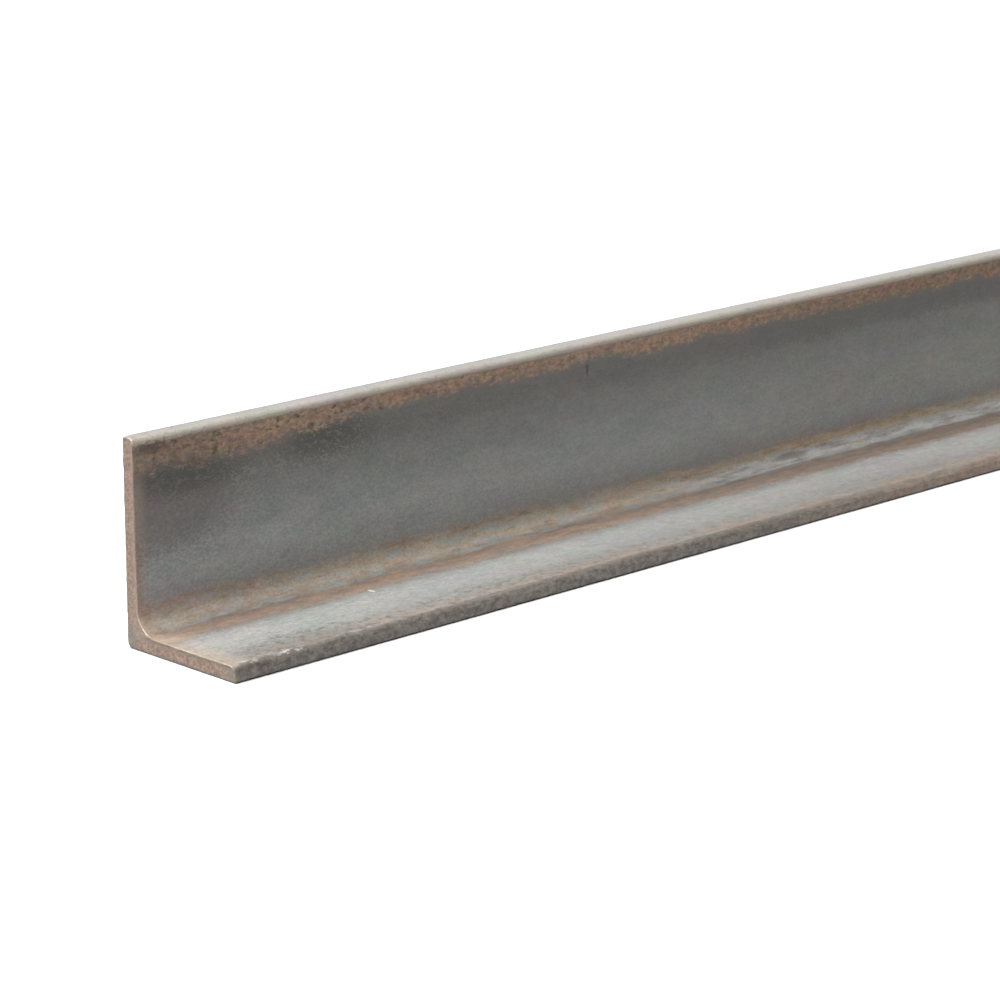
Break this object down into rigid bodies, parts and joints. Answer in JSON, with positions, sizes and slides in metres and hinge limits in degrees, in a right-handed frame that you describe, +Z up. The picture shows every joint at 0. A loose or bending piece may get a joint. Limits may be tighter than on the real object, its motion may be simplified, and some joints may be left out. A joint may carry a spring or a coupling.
{
  "type": "metal angle section",
  "caption": "Straight bar of hot-rolled steel angle with unequal legs, a filleted root and sheared ends, with mill scale and light rust.",
  "frame": {"origin": "on the floor under the middle of the bar's bounding box", "axes": "+X along the bar, +Z up, upright leg at the +Y side, flat leg's toe towards -Y"},
  "size_m": [1, 0.05, 0.065],
  "materials": {
    "mill_scale_steel": "hot-rolled mill scale, matt grey, with bands of light rust"
  },
  "bodies": {
    "root": {"angle_section": "mill_scale_steel"}
  },
  "joints": []
}
